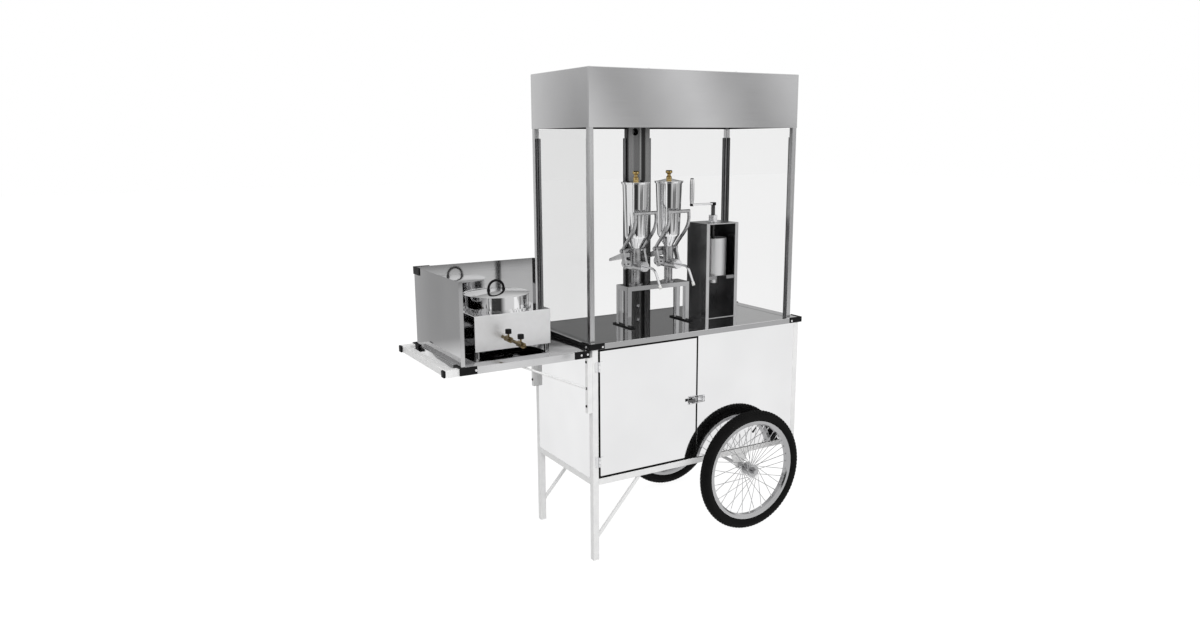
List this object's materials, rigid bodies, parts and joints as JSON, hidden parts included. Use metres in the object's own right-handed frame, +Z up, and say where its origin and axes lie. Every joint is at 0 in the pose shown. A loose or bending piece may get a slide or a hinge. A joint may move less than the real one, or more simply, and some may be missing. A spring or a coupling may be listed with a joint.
{
  "type": "churro cart",
  "caption": "Push cart for making and selling churros: steel cabinet on spoked wheels, side shelf with a gas fryer, glazed canopy, dough press and filling dispensers.",
  "frame": {"origin": "on the floor under the middle of the cart's outline, at the soles of the legs and the treads of the wheels", "axes": "+X from the push handle towards the wheel end, -Y towards the customer's side with the door, +Z up"},
  "size_m": [1.587, 0.667, 1.833],
  "materials": {
    "painted_tube": "light grey-white square tube",
    "polished_sheet": "polished stainless sheet",
    "satin_sheet": "satin stainless sheet",
    "black_plastic": "matt black",
    "tyre_rubber": "black rubber",
    "silver_alloy": "bright silver",
    "cast_aluminium": "tumbled cast",
    "bright_steel": "bright plated",
    "yellow_brass": "bright brass",
    "black_iron": "blackened",
    "clear_pane": "clear"
  },
  "bodies": {
    "cart": {"axle": "bright_steel", "axle_hangers": "painted_tube", "back_panel": "polished_sheet", "burner": "black_iron", "canopy": "satin_sheet", "canopy_posts": "satin_sheet", "centre_column": "satin_sheet", "corner_caps": "black_plastic", "counter_top": "polished_sheet", "dispenser_stand": "satin_sheet", "door_hinges": "bright_steel", "dough_cylinder": "satin_sheet", "filling_nozzles": "bright_steel", "floor_panel": "polished_sheet", "frame_rails": "painted_tube", "frame_uprights": "painted_tube", "front_panel": "polished_sheet", "fryer_box": "polished_sheet", "gas_manifold": "yellow_brass", "glass_channels": "satin_sheet", "glass_panes": "clear_pane", "handle_end_caps": "black_plastic", "hoppers": "polished_sheet", "latch_strike": "bright_steel", "left_panel": "polished_sheet", "leg_braces": "painted_tube", "press_housing": "satin_sheet", "press_nut": "bright_steel", "pump_bodies": "cast_aluminium", "push_handle": "painted_tube", "right_panel": "polished_sheet", "shelf_tray": "polished_sheet", "shelf_uprights": "painted_tube", "stay_rods": "painted_tube", "windbreak": "polished_sheet"},
    "front_wheel": {"front_tyre": "tyre_rubber", "front_rim": "silver_alloy", "front_spoked_hub": "bright_steel"},
    "back_wheel": {"back_tyre": "tyre_rubber", "back_rim": "silver_alloy", "back_spoked_hub": "bright_steel"},
    "door": {"door": "polished_sheet", "latch_base": "bright_steel"},
    "latch_lever": {"latch_lever": "bright_steel"},
    "latch_bail": {"latch_bail": "bright_steel"},
    "press_piston": {"press_piston": "bright_steel"},
    "press_spindle": {"press_screw": "bright_steel", "press_crank": "bright_steel"},
    "crank_grip": {"crank_grip": "silver_alloy"},
    "left_yoke": {"left_yoke": "cast_aluminium"},
    "right_yoke": {"right_yoke": "cast_aluminium"},
    "left_plunger": {"left_plunger": "bright_steel"},
    "right_plunger": {"right_plunger": "bright_steel"},
    "left_hopper_lid": {"left_hopper_lid": "polished_sheet"},
    "right_hopper_lid": {"right_hopper_lid": "polished_sheet"},
    "fryer_pot": {"fryer_pot": "polished_sheet"},
    "pot_lid": {"pot_lid": "polished_sheet", "pot_lid_handle": "black_plastic"},
    "front_gas_knob": {"front_gas_knob": "black_plastic"},
    "rear_gas_knob": {"rear_gas_knob": "black_plastic"}
  },
  "joints": [
    {"name": "front_wheel_spin", "type": "hinge", "parent": "cart", "child": "front_wheel", "pos_m": [0.49, -0.293, 0.249], "axis": [0, 1, 0], "continuous": true},
    {"name": "back_wheel_spin", "type": "hinge", "parent": "cart", "child": "back_wheel", "pos_m": [0.49, 0.293, 0.249], "axis": [0, 1, 0], "continuous": true},
    {"name": "door_swing", "type": "hinge", "parent": "cart", "child": "door", "pos_m": [-0.192, -0.239, 0.569], "axis": [0, 0, 1], "range_deg": [-110, 0]},
    {"name": "latch_lever_turn", "type": "hinge", "parent": "door", "child": "latch_lever", "pos_m": [0.24117, -0.244, 0.569], "axis": [0, 0, 1], "range_deg": [0, 150]},
    {"name": "latch_bail_turn", "type": "hinge", "parent": "latch_lever", "child": "latch_bail", "pos_m": [0.23217, -0.244, 0.569], "axis": [0, 0, 1], "range_deg": [-150, 0]},
    {"name": "piston_travel", "type": "slide", "parent": "cart", "child": "press_piston", "axis": [0, 0, 1], "range_m": [0, 0.14]},
    {"name": "spindle_turn", "type": "hinge", "parent": "press_piston", "child": "press_spindle", "pos_m": [0.5025, 0, 1.318], "axis": [0, 0, 1], "range_deg": [0, 6300]},
    {"name": "crank_grip_spin", "type": "hinge", "parent": "press_spindle", "child": "crank_grip", "pos_m": [0.3925, 0, 1.318], "axis": [0, 0, 1], "continuous": true},
    {"name": "fryer_pot_lift", "type": "slide", "parent": "cart", "child": "fryer_pot", "axis": [0, 0, 1], "range_m": [0, 0.16]},
    {"name": "pot_lid_lift", "type": "slide", "parent": "fryer_pot", "child": "pot_lid", "axis": [0, 0, 1], "range_m": [0, 0.08]},
    {"name": "left_yoke_swing", "type": "hinge", "parent": "cart", "child": "left_yoke", "pos_m": [0.1215, 0.025, 1.145], "axis": [1, 0, 0], "range_deg": [0, 40]},
    {"name": "left_plunger_stroke", "type": "slide", "parent": "cart", "child": "left_plunger", "axis": [0, 1, 0], "range_m": [0, 0.0415]},
    {"name": "left_hopper_lid_lift", "type": "slide", "parent": "cart", "child": "left_hopper_lid", "axis": [0, 0, 1], "range_m": [0, 0.1]},
    {"name": "right_yoke_swing", "type": "hinge", "parent": "cart", "child": "right_yoke", "pos_m": [0.2795, 0.025, 1.145], "axis": [1, 0, 0], "range_deg": [0, 40]},
    {"name": "right_plunger_stroke", "type": "slide", "parent": "cart", "child": "right_plunger", "axis": [0, 1, 0], "range_m": [0, 0.0415]},
    {"name": "right_hopper_lid_lift", "type": "slide", "parent": "cart", "child": "right_hopper_lid", "axis": [0, 0, 1], "range_m": [0, 0.1]},
    {"name": "rear_gas_knob_turn", "type": "hinge", "parent": "cart", "child": "rear_gas_knob", "pos_m": [-0.5325, -0.191, 0.897], "axis": [0, 0, 1], "range_deg": [0, 90]},
    {"name": "front_gas_knob_turn", "type": "hinge", "parent": "cart", "child": "front_gas_knob", "pos_m": [-0.5325, -0.291, 0.897], "axis": [0, 0, 1], "range_deg": [0, 90]}
  ],
  "couplings": [
    {"joint": "latch_bail_turn", "follows": "latch_lever_turn", "ratio": -1},
    {"joint": "piston_travel", "follows": "spindle_turn", "m_per_rad": 0.0012732},
    {"joint": "left_plunger_stroke", "follows": "left_yoke_swing", "m_per_rad": 0.059434},
    {"joint": "right_plunger_stroke", "follows": "right_yoke_swing", "m_per_rad": 0.059434}
  ]
}
